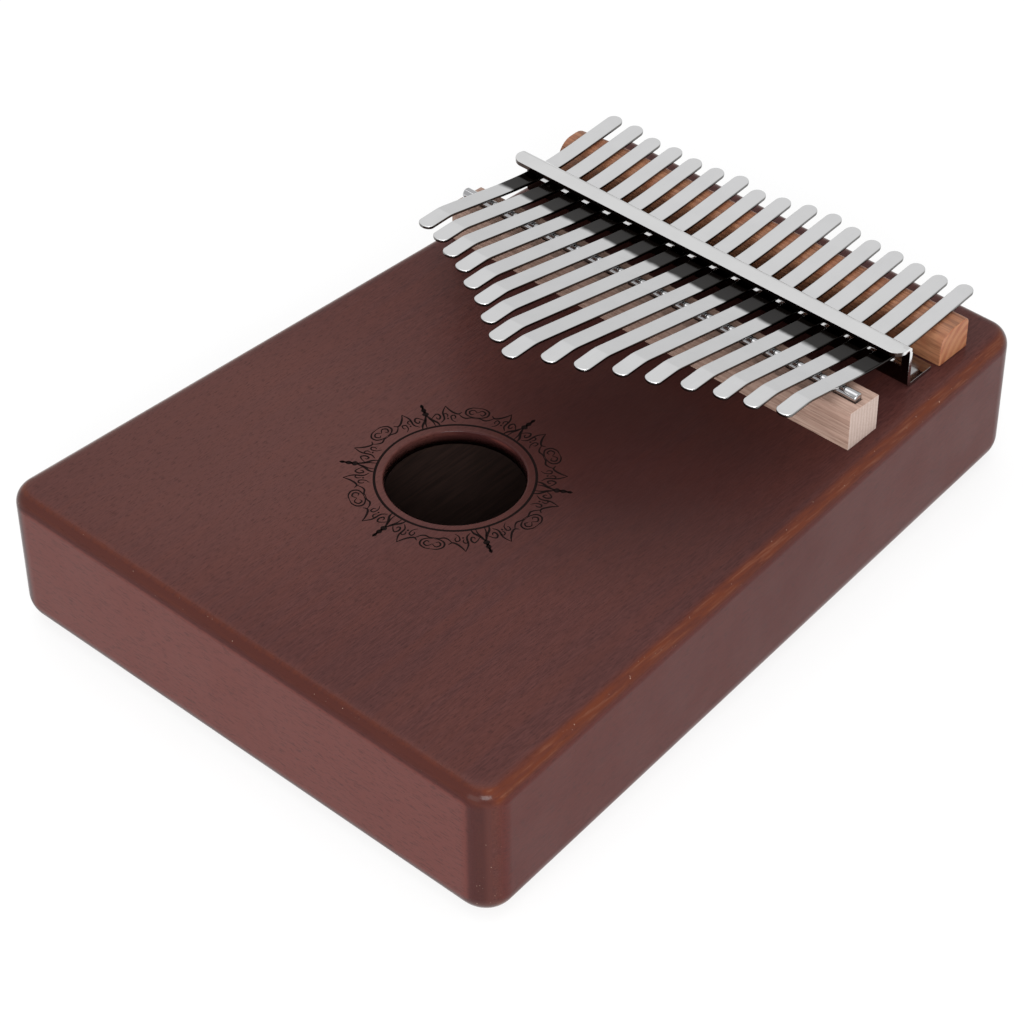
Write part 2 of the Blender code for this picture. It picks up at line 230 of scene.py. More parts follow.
def find_socket(sockets, identifier):
    """A socket of a Mix node, whose sockets for each kind of data share their names."""
    return next(s for s in sockets if s.identifier == identifier)


class Finish:
    """A material under construction: short calls for the nodes that it needs."""

    def __init__(self, name):
        self.made = bpy.data.materials.new(name)
        self.made.use_nodes = True
        self.tree = self.made.node_tree
        self.shader = self.tree.nodes["Principled BSDF"]
        self.place = self.add("ShaderNodeTexCoord").outputs["Object"]
        self.normal = self.add("ShaderNodeNewGeometry").outputs["Normal"]

    def add(self, kind, inputs=None, **settings):
        made = self.tree.nodes.new(kind)
        for key, value in settings.items():
            setattr(made, key, value)
        for key, value in (inputs or {}).items():
            self.put(made.inputs[key], value)
        return made

    def put(self, socket, value):
        if isinstance(value, bpy.types.NodeSocket):
            self.tree.links.new(value, socket)
        else:
            socket.default_value = value

    def set(self, **values):
        for key, value in values.items():
            self.put(self.shader.inputs[key.replace("_", " ")], value)

    def math(self, operation, a, b=0.0):
        return self.add("ShaderNodeMath", {0: a, 1: b}, operation=operation).outputs[0]

    def times(self, a, b):
        return self.math("MULTIPLY", a, b)

    def plus(self, a, b):
        return self.math("ADD", a, b)

    def opposite(self, share):
        return self.math("SUBTRACT", 1.0, share)

    def scaled(self, factors, place=None):
        made = self.add("ShaderNodeVectorMath", {0: place or self.place}, operation="MULTIPLY")
        self.put(made.inputs[1], factors)
        return made.outputs[0]

    def spaced(self, x, y, z):
        """Coordinates for a pattern whose marks are about x, y and z long."""
        return self.scaled((1 / x, 1 / y, 1 / z))

    def noise(self, place, scale=1.0, detail=3.0, distortion=0.0):
        values = {"Vector": place, "Scale": scale, "Detail": detail}
        values |= {"Roughness": 0.55, "Distortion": distortion}
        return self.add("ShaderNodeTexNoise", values).outputs["Fac"]

    def wave(self, place, scale, distortion, detail_scale, **settings):
        values = {"Vector": place, "Scale": scale, "Distortion": distortion}
        values |= {"Detail": 2.0, "Detail Scale": detail_scale}
        return self.add("ShaderNodeTexWave", values, **settings).outputs["Fac"]

    def ramp(self, value, low, high, to_low=0.0, to_high=1.0):
        """A smooth step from to_low, where the value is low, to to_high."""
        values = {"Value": value, "From Min": low, "From Max": high}
        values |= {"To Min": to_low, "To Max": to_high}
        return self.add("ShaderNodeMapRange", values, interpolation_type="SMOOTHSTEP").outputs[0]

    def mix(self, factor, a, b):
        made = self.add("ShaderNodeMix", data_type="RGBA")
        for socket, value in (("Factor_Float", factor), ("A_Color", a), ("B_Color", b)):
            target = find_socket(made.inputs, socket)
            if not isinstance(value, bpy.types.NodeSocket) and socket != "Factor_Float":
                value = (*value, 1.0)
            self.put(target, value)
        return find_socket(made.outputs, "Result_Color")

    def split(self, vector):
        return self.add("ShaderNodeSeparateXYZ", {0: vector}).outputs

    def bump(self, height, distance, strength=1.0):
        made = self.add("ShaderNodeBump", {"Height": height, "Distance": distance, "Strength": strength})
        self.put(self.shader.inputs["Normal"], made.outputs[0])

    def facing(self, axis):
        """How squarely a surface faces along an axis, either way: 0 to 1."""
        return self.math("ABSOLUTE", self.split(self.normal)[axis])

    def faces_end(self, low=0.6, high=0.8):
        """1 on surfaces that face along Y, 0 elsewhere."""
        return self.ramp(self.facing(1), low, high)

    def edge(self, low, high):
        """0 on surfaces square to an axis, rising to 1 on rounded edges."""
        most = self.math("MAXIMUM", self.math("MAXIMUM", self.facing(0), self.facing(1)), self.facing(2))
        return self.ramp(self.opposite(most), low, high)


def grain_place(finish, fine, long):
    """Coordinates for streaks of the box's grain, fine across it and long along it.

    Grain runs along Y, and along X on the boards that face the ends.
    """
    chosen = finish.add("ShaderNodeMix", data_type="VECTOR")
    finish.put(find_socket(chosen.inputs, "Factor_Float"), finish.faces_end())
    finish.put(find_socket(chosen.inputs, "A_Vector"), finish.spaced(fine, long, fine))
    finish.put(find_socket(chosen.inputs, "B_Vector"), finish.spaced(long, fine, fine))
    return find_socket(chosen.outputs, "Result_Vector")


def near(finish, place, low, high, most):
    """A soft patch: most inside a distance low of place, 0 outside high."""
    distance = finish.add("ShaderNodeVectorMath", {0: finish.place}, operation="DISTANCE")
    distance.inputs[1].default_value = place
    return finish.ramp(distance.outputs["Value"], low, high, most, 0.0)


def mahogany():
    """Dark stained mahogany under thin lacquer, rubbed orange along its rounded edges."""
    finish = Finish("mahogany_lacquered")
    facing_y, facing_z = finish.facing(1), finish.facing(2)
    outside = finish.opposite(near(finish, HOLE_PLACE, RING_RADIUS, RING_RADIUS + 3 * MM, 1.0))

    streaks = finish.noise(grain_place(finish, 0.35 * MM, 4 * MM), detail=4.0, distortion=0.4)
    bands = finish.noise(grain_place(finish, 5 * MM, 90 * MM), detail=2.0, distortion=0.8)
    clouds = finish.noise(finish.place, scale=1 / (38 * MM), detail=2.0)
    base = finish.mix(finish.ramp(streaks, 0.3, 0.7), (0.052, 0.0170, 0.0155), (0.080, 0.0275, 0.0245))
    base = finish.mix(finish.ramp(bands, 0.35, 0.7, 0.0, 0.45), base, (0.084, 0.0245, 0.0180))
    base = finish.mix(finish.ramp(clouds, 0.4, 0.75, 0.0, 0.35), base, (0.050, 0.0165, 0.0155))
    # Painted reflection: a paler, greyer patch stands for the sheen of light from the left-back.
    base = finish.mix(near(finish, SHEEN_PLACE, 15 * MM, 70 * MM, 0.5), base, (0.100, 0.0400, 0.0340))
    # Painted shade: a dark patch in front of the tines stands for their shadow and dark reflection on the
    # top.
    base = finish.mix(near(finish, TINE_SHADE_PLACE, 12 * MM, 60 * MM, 0.72), base, (0.022, 0.0052, 0.0045))

    # Painted shade and light: the sides are redder and darker than the top to cancel the grey sheen they
    # reflect, and the end boards paler for the stronger light on them.
    rounded = finish.edge(0.004, 0.17)
    side_shade = finish.times(finish.ramp(facing_z, 0.2, 0.8, 0.48, 0.0), outside)
    side_shade = finish.times(side_shade, finish.opposite(rounded))
    base = finish.mix(side_shade, base, (0.082, 0.0080, 0.0050))
    # Painted light: the end boards are paler where more light falls on them.
    end_light = finish.times(finish.faces_end(0.92, 0.99), 0.6)
    base = finish.mix(end_light, base, (0.122, 0.0370, 0.0310))

    # End grain took more stain, in the rounding of the ends and beside each corner.
    beside = finish.times(finish.ramp(facing_y, 0.30, 0.60), finish.ramp(facing_z, 0.15, 0.40))
    beside = finish.math("MAXIMUM", beside, finish.ramp(facing_y, 0.66, 0.82))
    beside = finish.times(beside, finish.ramp(facing_y, 0.96, 0.995, 1.0, 0.0))
    base = finish.mix(finish.times(beside, 0.65), base, (0.034, 0.0100, 0.0100))
    pores = finish.noise(grain_place(finish, 0.22 * MM, 1.6 * MM), detail=2.0)
    base = finish.mix(finish.ramp(pores, 0.54, 0.68, 0.0, 0.55), base, (0.028, 0.0090, 0.0080))

    # Rounded edges are rubbed through: most on the long ones, least on the upright ones.
    worn = finish.noise(grain_place(finish, 1.1 * MM, 9 * MM), detail=4.0)
    edge = finish.times(rounded, finish.ramp(worn, 0.3, 0.62, 0.5, 1.0))
    edge = finish.times(edge, outside)
    edge = finish.times(edge, finish.ramp(facing_z, 0.05, 0.35, 0.35, 1.0))
    edge = finish.times(edge, finish.ramp(facing_y, 0.30, 0.62, 1.0, 0.30))
    base = finish.mix(edge, base, (0.100, 0.0250, 0.0120))
    bare = finish.noise(grain_place(finish, 0.45 * MM, 10 * MM), detail=3.0)
    bare = finish.times(finish.ramp(bare, 0.45, 0.75, 0.0, 0.5), finish.ramp(edge, 0.6, 1.0))
    base = finish.mix(bare, base, (0.175, 0.0750, 0.0470))
    specks = finish.noise(finish.place, scale=1 / (0.55 * MM), detail=1.0)
    specks = finish.times(finish.ramp(specks, 0.76, 0.79, 0.0, 0.5), rounded)
    specks = finish.times(specks, outside)
    base = finish.mix(specks, base, (0.50, 0.34, 0.26))

    smears = finish.noise(finish.place, scale=1 / (14 * MM), detail=3.0)
    rough = finish.ramp(smears, 0.3, 0.7, 0.30, 0.38)
    rough = finish.math("SUBTRACT", rough, finish.times(rounded, 0.16))
    finish.set(Base_Color=base, Roughness=rough, Specular_IOR_Level=0.11)
    finish.bump(finish.plus(streaks, finish.times(pores, 0.5)), 0.025 * MM, 0.5)
    return finish.made


def box_inside():
    """The unfinished inner faces of the box: rough wood, darkened with painted shade inside the sound hole.
    """
    finish = Finish("mahogany_unfinished_shaded")
    streaks = finish.noise(grain_place(finish, 0.6 * MM, 12 * MM), detail=3.0)
    # Painted shade: the raw inner wood is made much darker, to deepen the shade inside the box.
    base = finish.mix(finish.ramp(streaks, 0.3, 0.7), (0.035, 0.017, 0.013), (0.070, 0.035, 0.027))
    finish.set(Base_Color=base, Roughness=finish.ramp(streaks, 0.2, 0.8, 0.7, 0.9))
    finish.bump(streaks, 0.05 * MM)
    return finish.made


def burnt_line():
    """Laser-burnt lines: matt charred wood, browner in patches."""
    finish = Finish("burnt_line")
    char = finish.noise(finish.place, scale=1 / (0.35 * MM), detail=3.0)
    base = finish.mix(finish.ramp(char, 0.3, 0.75), (0.0025, 0.0015, 0.0015), (0.010, 0.004, 0.0035))
    rough = finish.ramp(char, 0.3, 0.7, 0.6, 0.8)
    finish.set(Base_Color=base, Roughness=rough, Specular_IOR_Level=0.05)
    finish.bump(char, 0.02 * MM)
    return finish.made


def pale_wood():
    """Bare straight-grained wood of the front bridge: streaks along X, end grain at its ends."""
    finish = Finish("pale_wood_bare")
    streaks = finish.noise(finish.spaced(14 * MM, 0.45 * MM, 0.45 * MM), detail=4.0, distortion=0.4)
    pores = finish.noise(finish.spaced(5 * MM, 0.3 * MM, 0.3 * MM), detail=2.0)
    bands = finish.noise(finish.spaced(40 * MM, 2.5 * MM, 2.5 * MM), detail=2.0)
    base = finish.mix(finish.ramp(streaks, 0.28, 0.72), (0.25, 0.155, 0.118), (0.44, 0.305, 0.245))
    base = finish.mix(finish.ramp(bands, 0.35, 0.7, 0.0, 0.4), base, (0.43, 0.27, 0.215))
    base = finish.mix(finish.ramp(pores, 0.54, 0.70, 0.0, 0.6), base, (0.15, 0.080, 0.058))
    ring_place = finish.scaled((0.0, 1.0, 0.12))
    rings = finish.wave(ring_place, 310.0, 1.6, 1.5, wave_type="BANDS", bands_direction="Y")
    fibres = finish.noise(finish.place, scale=1 / (0.35 * MM), detail=3.0)
    end = finish.mix(finish.ramp(rings, 0.1, 0.9), (0.44, 0.335, 0.29), (0.50, 0.395, 0.35))
    end = finish.mix(finish.ramp(fibres, 0.35, 0.8, 0.0, 0.4), end, (0.28, 0.195, 0.16))
    base = finish.mix(finish.ramp(finish.facing(0), 0.6, 0.8), base, end)
    rough = finish.ramp(streaks, 0.2, 0.8, 0.55, 0.72)
    finish.set(Base_Color=base, Roughness=rough, Specular_IOR_Level=0.35)
    finish.bump(finish.plus(streaks, pores), 0.03 * MM, 0.6)
    return finish.made


def orange_wood():
    """Oiled wood of the rear bridge: warm, with growth arcs on its ends, and its long faces darkened with
    painted shade from the tines above.
    """
    finish = Finish("orange_wood_oiled")
    streaks = finish.noise(finish.spaced(9 * MM, 0.5 * MM, 0.5 * MM), detail=4.0, distortion=0.5)
    clouds = finish.noise(finish.place, scale=1 / (5 * MM), detail=3.0)
    # Painted shade: the long faces are darker than the ends, for the shade between the tines.
    base = finish.mix(finish.ramp(streaks, 0.28, 0.72), (0.14, 0.050, 0.023), (0.32, 0.140, 0.068))
    base = finish.mix(finish.ramp(clouds, 0.4, 0.75, 0.0, 0.6), base, (0.24, 0.075, 0.032))
    centre = finish.add("ShaderNodeVectorMath", {0: finish.place}, operation="SUBTRACT")
    centre.inputs[1].default_value = (0.0, REAR_HIGH[1] + 1.5 * MM, REAR_LOW[2] - 3.0 * MM)
    ring_place = finish.scaled((0.0, 1.0, 1.0), centre.outputs[0])
    rings = finish.wave(ring_place, 130.0, 2.0, 1.0, wave_type="RINGS", rings_direction="X")
    end = finish.mix(finish.ramp(rings, 0.1, 0.9), (0.37, 0.150, 0.068), (0.27, 0.080, 0.034))
    end = finish.mix(finish.ramp(clouds, 0.35, 0.7, 0.0, 0.5), end, (0.40, 0.185, 0.090))
    base = finish.mix(finish.ramp(finish.facing(0), 0.6, 0.8), base, end)
    finish.set(Base_Color=base, Roughness=finish.ramp(streaks, 0.2, 0.8, 0.42, 0.58))
    finish.bump(streaks, 0.03 * MM, 0.5)
    return finish.made


def plain_wood():
    """Raw softwood of the block inside the box."""
    finish = Finish("plain_wood_raw")
    streaks = finish.noise(finish.spaced(20 * MM, 0.8 * MM, 0.8 * MM), detail=4.0)
    base = finish.mix(finish.ramp(streaks, 0.3, 0.7), (0.42, 0.28, 0.16), (0.56, 0.40, 0.25))
    finish.set(Base_Color=base, Roughness=finish.ramp(streaks, 0.2, 0.8, 0.65, 0.8))
    finish.bump(streaks, 0.05 * MM)
    return finish.made


def steel(name, color, rough, brushed, dark_shade_color=None, cut_and_shade_color=None):
    """Steel with brush marks along Y and faint smears.

    Given a colour for the bracket, painted shade and reflection darken the faces that look
    forward or down, the low part of the bracket and the inside of its right end. Given a
    colour for the tines, their upright faces show the duller cut edge of the strip darkened
    with painted shade, and painted shade and dark reflection fall on the top just in front
    of the bracket.
    """
    finish = Finish(name)
    place_x, place_y, place_z = finish.split(finish.place)[:3]
    marks = finish.noise(finish.spaced(0.12 * MM, 9 * MM, 0.12 * MM), detail=3.0)
    smears = finish.noise(finish.place, scale=1 / (6 * MM), detail=3.0)
    dull = tuple(c * 0.96 for c in color)
    base = finish.mix(finish.ramp(smears, 0.35, 0.75), color, dull)
    base = finish.mix(finish.ramp(marks, 0.3, 0.75, 0.0, brushed), base, tuple(c * 0.8 for c in color))
    if dark_shade_color:
        # Painted shade and reflection: forward- and down-facing faces, the low flange and the inside of the
        # right end take the dark colour of the wood they reflect and the shade under the strip.
        x, y, z = finish.split(finish.normal)[:3]
        shade_facing = finish.math("MINIMUM", y, z)
        base = finish.mix(finish.ramp(shade_facing, -0.5, -0.25, 1.0, 0.0), base, dark_shade_color)
        low = finish.ramp(place_z, BOX_TOP + SHEET, BOX_TOP + 3 * SHEET, 0.55, 0.0)
        base = finish.mix(low, base, dark_shade_color)
        right = BRACKET_HIGH[0]
        inner = finish.ramp(place_x, right - SHEET, right - SHEET / 2, 0.7, 0.0)
        base = finish.mix(finish.times(inner, finish.ramp(x, 0.4, 0.8)), base, dark_shade_color)
    if cut_and_shade_color:
        # Painted shade: the upright faces are darker, partly the duller cut edge and partly the shade on
        # the tines' sides.
        base = finish.mix(finish.ramp(finish.facing(2), 0.35, 0.75, 1.0, 0.0), base, cut_and_shade_color)
        # Painted shade and reflection: a dark band on the tines just in front of the bracket, under its
        # strip.
        y = finish.plus(place_y, finish.times(smears, 2 * MM))
        shade_band = finish.ramp(y, SHADE_BAND_Y, SHADE_BAND_Y + SHADE_BAND_FADE, 0.0, 0.99)
        shade_band = finish.times(shade_band, finish.math("LESS_THAN", y, WEB_Y + 2 * MM))
        base = finish.mix(shade_band, base, (0.0120, 0.0100, 0.0090))
    low, high = rough
    finish.set(Base_Color=base, Metallic=1.0, Roughness=finish.ramp(smears, 0.3, 0.75, low, high))
    finish.bump(marks, 0.003 * MM, 0.3)
    return finish.made


MAHOGANY = mahogany()
INSIDE = box_inside()
BURNT = burnt_line()
PALE = pale_wood()
ORANGE = orange_wood()
PLAIN = plain_wood()
SATIN = steel("satin_steel_brushed", (0.74, 0.74, 0.745), (0.09, 0.15), 0.12, cut_and_shade_color=(0.16, 0.155, 0.15))
# Painted shade: this steel is darker than the bracket's, for the dark surroundings the rod reflects.
CHROME = steel("polished_steel_shaded", (0.48, 0.48, 0.49), (0.05, 0.10), 0.1)
FOLDED = steel("polished_steel_folded", (0.78,) * 3, (0.06, 0.11), 0.1, dark_shade_color=(0.060, 0.043, 0.037))


# Box -----------------------------------------------------------------------------------


def taper(x, y):
    """A point of the box's plan, drawn in towards the tine end."""
    return x * (1 - BOX_TAPER * y / (BOX_LENGTH / 2)), y


def plan_outline(inset, steps=16):
    """The box's plan, moved in by inset: four rounded corners, anticlockwise."""
    half_x = BOX_WIDTH / 2 - inset
    half_y = BOX_LENGTH / 2 - inset
    radius = CORNER_RADIUS - inset
    points = []
    for sign_x, sign_y, start in ((1, -1, -90), (1, 1, 0), (-1, 1, 90), (-1, -1, 180)):
        centre = (sign_x * (half_x - radius), sign_y * (half_y - radius))
        points += arc(centre, radius, start, start + 90, steps)
    return [taper(x, y) for x, y in points]


def circle(radius, z):
    """A ring of points round the sound hole."""
    angles = [2 * pi * i / HOLE_STEPS for i in range(HOLE_STEPS)]
    return [(radius * cos(a), HOLE_Y + radius * sin(a), z) for a in angles]


def fill_between(mesh_data, outer, inner, up, material=0):
    """A flat face between two loops of vertices, facing up or down."""
    edges = []
    for loop in (outer, inner):
        for a, b in zip(loop, loop[1:] + loop[:1]):
            edges.append(mesh_data.edges.get((a, b)) or mesh_data.edges.new((a, b)))
    filled = bmesh.ops.triangle_fill(mesh_data, edges=edges, use_beauty=True)
    for face in [g for g in filled["geom"] if isinstance(g, bmesh.types.BMFace)]:
        face.normal_update()
        face.material_index = material
        if (face.normal.z > 0) != up:
            face.normal_flip()


def flip_faces(loops):
    """Turn the faces between loops of vertices inside out."""
    for face in {f for loop in loops for v in loop for f in v.link_faces}:
        face.normal_flip()


def build_box():
    """The whole box as one skin: outside, sound hole and inside."""
    skin = bmesh.new()
    turns = [pi / 2 * i / ROUND_STEPS for i in range(ROUND_STEPS + 1)]
    levels = [(BOTTOM_ROUND * (1 - cos(a)), BOTTOM_ROUND * (1 - sin(a))) for a in turns]
    levels += [(BOX_TOP - TOP_ROUND * (1 - sin(a)), TOP_ROUND * (1 - cos(a))) for a in turns]
    rings = [[(x, y, z) for x, y in plan_outline(inset)] for z, inset in levels]
    loops = add_loops(skin, rings, caps=False)
    skin.faces.new(loops[0][::-1])
    hole = []
    for a in (pi / 2 * i / 4 for i in range(5)):
        hole.append(circle(HOLE_RADIUS + HOLE_EDGE * (1 - sin(a)), BOX_TOP - HOLE_EDGE * (1 - cos(a))))
    hole.append(circle(HOLE_RADIUS, BOX_TOP - BOARD))
    hole_loops = add_loops(skin, hole[::-1], caps=False)
    flip_faces(hole_loops)
    fill_between(skin, loops[-1], hole_loops[-1], up=True)

    half_x = BOX_WIDTH / 2 - SIDE_BOARD
    half_y = BOX_LENGTH / 2 - END_BOARD
    corners = [(-half_x, -half_y), (half_x, -half_y), (half_x, half_y), (-half_x, half_y)]
    inner = [[(*taper(x, y), z) for x, y in corners] for z in (BOARD, BOX_TOP - BOARD)]
    room = add_loops(skin, inner, caps=False, material=1)
    flip_faces(room)
    skin.faces.new(room[0]).material_index = 1
    fill_between(skin, room[1], hole_loops[0], up=False, material=1)
    boards = ["soundboard", "back_board", "side_board_left", "side_board_right"]
    boards += ["end_board_player", "end_board_tines"]
    box = add_piece("box_body", skin, [MAHOGANY, INSIDE], replaces=boards)
    flatten(box)


# Ornament round the sound hole ---------------------------------------------------------


def polar(radius, angle):
    """A point of the ornament: radius in mm from the hole's centre, angle in degrees."""
    a = radians(angle)
    return Vector((radius * MM * cos(a), HOLE_Y + radius * MM * sin(a)))


def smooth_path(points, steps=6):
    """A Catmull-Rom curve through points."""
    path = []
    ends = [points[0] * 2 - points[1], *points, points[-1] * 2 - points[-2]]
    for p0, p1, p2, p3 in zip(ends, ends[1:], ends[2:], ends[3:]):
        for i in range(steps):
            t = i / steps
            straight = 2 * p1 + (p2 - p0) * t
            curved = (2 * p0 - 5 * p1 + 4 * p2 - p3) * t**2 + (3 * p1 - p0 - 3 * p2 + p3) * t**3
            path.append(0.5 * (straight + curved))
    return path + [points[-1]]


def add_stroke(mesh_data, path, width, taper_ends=True, closed=False):
    """A burnt line: a flat strip that swells in its middle, with sloping sides."""
    rows = []
    count = len(path)
    for i, point in enumerate(path):
        before = path[i - 1] if i or closed else path[0]
        after = path[(i + 1) % count] if i < count - 1 or closed else path[-1]
        along = (after - before).normalized()
        side = Vector((-along.y, along.x))
        share = i / (count - 1)
        swell = (0.35 + 0.65 * sin(pi * share)) if taper_ends else 1.0
        half = width * INK_WEIGHT * MM / 2 * swell
        rows.append([
            mesh_data.verts.new((*(point + side * across), z))
            for across, z in (
                (-half * 1.15, BOX_TOP - INK_SUNK),
                (-half * 0.8, BOX_TOP + INK_HEIGHT),
                (half * 0.8, BOX_TOP + INK_HEIGHT),
                (half * 1.15, BOX_TOP - INK_SUNK),
            )
        ])
    pairs = list(zip(rows, rows[1:]))
    if closed:
        pairs.append((rows[-1], rows[0]))
    for a, b in pairs:
        for k in range(3):
            mesh_data.faces.new((a[k], b[k], b[k + 1], a[k + 1]))


def add_dot(mesh_data, centre, radius, steps=10):
    """A burnt dot with sloping sides: radius in mm."""
    rings = []
    for reach, z in ((radius * MM, BOX_TOP - INK_SUNK), (radius * MM * 0.7, BOX_TOP + INK_HEIGHT)):
        turns = [2 * pi * i / steps for i in range(steps)]
        rings.append([(centre.x + reach * cos(a), centre.y + reach * sin(a), z) for a in turns])
    mesh_data.faces.new(add_loops(mesh_data, rings, caps=False)[-1])


def ornament_strokes():
    """One repeat about angle 0: a finial, its leaves and half an oval each side.

    Each stroke is (points, width in mm), and each point is (radius in mm, degrees).
    """
    strokes = []
    for side in (1, -1):

        def at(radius, angle):
            return radius, side * angle

        strokes += [
            # stem that leaves the ring and curls out under the finial
            ([at(17.1, 6.5), at(18.2, 5.2), at(19.4, 2.4), at(20.9, 0.6)], 0.34),
            ([at(17.1, 3.2), at(18.6, 2.6), at(19.8, 1.2), at(20.8, 0.2)], 0.24),
            # leaf beside the stem, curled in at its end
            (
                [at(19.6, 2.2), at(20.6, 4.6), at(21.0, 6.6), at(20.2, 8.0)]
                + [at(19.3, 7.2), at(19.5, 5.6), at(20.0, 5.6)],
                0.26,
            ),
            # pointed arch out to the tip and back in to the oval
            ([at(18.0, 7.6), at(19.2, 10.2), at(21.4, 10.0), at(23.4, 12.0)], 0.27),
            ([at(23.4, 12.0), at(22.2, 13.6), at(21.0, 16.4), at(20.6, 19.0), at(21.2, 21.0)], 0.30),
            ([at(20.4, 9.6), at(20.9, 11.2), at(20.4, 12.6), at(19.6, 12.0)], 0.2),
            # inner scroll above the ring
            (
                [at(17.9, 17.5), at(18.7, 15.0), at(19.9, 14.6)]
                + [at(20.2, 16.6), at(19.4, 17.4), at(19.0, 16.4)],
                0.22,
            ),
            # bar that runs to the oval's near end
            ([at(20.6, 19.0), at(19.6, 21.4), at(19.2, 24.0), at(19.5, 27.0), at(19.4, 30.0)], 0.26),
            # half of the oval, and the scroll inside it
            (
                [at(22.9, 30.0), at(22.8, 26.6), at(22.0, 23.6)]
                + [at(20.7, 23.4), at(19.9, 26.2), at(19.7, 30.0)],
                0.26,
            ),
            ([at(21.3, 30.0), at(22.1, 27.6), at(21.5, 25.3), at(20.6, 26.4), at(20.9, 28.2)], 0.24),
        ]
    # finial: a chain of beads that ends in a point
    for low, high, half in ((20.8, 22.3, 1.3), (22.1, 23.7, 0.85), (23.6, 24.9, 0.4)):
        middle = (low + high) / 2
        strokes.append(([(low, 0), (middle, half), (high, 0)], 0.3))
        strokes.append(([(low, 0), (middle, -half), (high, 0)], 0.3))
    strokes.append(([(20.6, 0), (22.4, 0), (24.7, 0)], 0.42))
    return strokes


def build_ornament():
    """Ring, six finials and scrolls burnt into the top round the sound hole."""
    ink = bmesh.new()
    ring = [polar(RING_RADIUS / MM, 360 * i / 120) for i in range(120)]
    add_stroke(ink, ring, 0.36, taper_ends=False, closed=True)
    step = 360 / REPEATS
    for repeat in range(REPEATS):
        turn = 30 + step * repeat
        for points, width in ornament_strokes():
            add_stroke(ink, smooth_path([polar(r, turn + a) for r, a in points]), width)
        for side in (1, -1):
            add_dot(ink, polar(19.2, turn + side * 12.5), 0.26)
    add_piece("burnt_ornament", ink, [BURNT])


# Bridges ----------------------------------------------------------------------------------


def build_front_bridge():
    """The block with its groove, closed at the right end, and the rod that lies in it."""
    groove_radius = ROD_RADIUS + GROOVE_PLAY
    front, rear = BLOCK_LOW[1], BLOCK_HIGH[1] - BLOCK_PLANED
    top_front, top_rear = BLOCK_HIGH[2], BLOCK_HIGH[2] - BLOCK_REAR_DROP

    def top_z(y):
        return top_front + (top_rear - top_front) * (y - front) / (rear - front)

    reach = sqrt(groove_radius**2 - (ROD_Z - top_z(ROD_Y)) ** 2)
    start = atan2(top_z(ROD_Y) - ROD_Z, reach)
    turn = (-pi - start) - start  # from the groove's rear lip, under the rod, to its front lip
    groove = []
    for i in range(GROOVE_STEPS + 1):
        a = start + turn * i / GROOVE_STEPS
        groove.append((ROD_Y + groove_radius * cos(a), ROD_Z + groove_radius * sin(a)))
    flat = [(y, top_z(y)) for y, _ in groove]
    groove[0], groove[-1] = flat[0], flat[-1]

    def ring(x, tops):
        section = [(front, BOX_TOP), (rear, BOX_TOP), (rear, top_rear), *tops, (front, top_front)]
        return [(x, y, z) for y, z in section]

    groove_end = ROD_HIGH[0] + GROOVE_PLAY
    block = bmesh.new()
    rings = [ring(BLOCK_LOW[0], groove), ring(groove_end, groove)]
    rings += [ring(groove_end, flat), ring(BLOCK_HIGH[0], flat)]
    add_loops(block, rings)
    bmesh.ops.remove_doubles(block, verts=block.verts, dist=1e-6)
    piece = add_piece("front_bridge_block", block, [PALE], replaces=["front_bridge"])
    soften(piece, BLOCK_EDGE)

    rod = bmesh.new()
    turns = [pi / 2 * i / 4 for i in range(5)]
    profile = [(ROD_RADIUS * 0.5, 0.0)]
    profile += [(ROD_RADIUS - ROD_EDGE * (1 - sin(a)), ROD_EDGE * (1 - cos(a))) for a in turns]
    ends = [(r, ROD_LOW[0] + d) for r, d in profile] + [(r, ROD_HIGH[0] - d) for r, d in reversed(profile)]
    angles = [2 * pi * i / 40 for i in range(40)]
    add_loops(rod, [[(x, ROD_Y + r * cos(a), ROD_Z + r * sin(a)) for a in angles] for r, x in ends])
    piece = add_piece("rod", rod, [CHROME], replaces=["bridge_rod"])
    flatten(piece)


def build_rear_bridge():
    """The rear bar. It is rounded by hand, so its rear round grows towards the left end."""
    front, rear, top = REAR_LOW[1], REAR_HIGH[1], REAR_HIGH[2]
    bar = bmesh.new()
    rings = []
    steps = 24
    for i in range(steps + 1):
        share = i / steps
        x = REAR_LOW[0] + (REAR_HIGH[0] - REAR_LOW[0]) * share
        rear_round = REAR_REAR_ROUND + REAR_EXTRA_ROUND * max(1 - share * 6, 0.0) ** 2
        front_centre = (front + REAR_FRONT_ROUND, top - REAR_FRONT_ROUND)
        section = [(front, BOX_TOP), (rear, BOX_TOP)]
        section += arc((rear - rear_round, top - rear_round), rear_round, 0, 90, 8)
        section += arc(front_centre, REAR_FRONT_ROUND, 90, 180, 14)
        rings.append([(x, y, z) for y, z in section])
    add_loops(bar, rings)
    piece = add_piece("rear_bridge_bar", bar, [ORANGE], replaces=["rear_bridge"])
    soften(piece, REAR_EDGE)


# Bracket and screws --------------------------------------------------------------------------


def tine_x(number):
    """Where a tine's middle lies along X."""
    low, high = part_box(f"tine_{number:02d}")
    return (low[0] + high[0]) / 2


def drawn_in(depth, corner):
    """How far a rounded corner draws in the sheet's ends, at a depth from a flange's edge."""
    return corner - sqrt(max(corner**2 - (corner - depth) ** 2, 0.0))


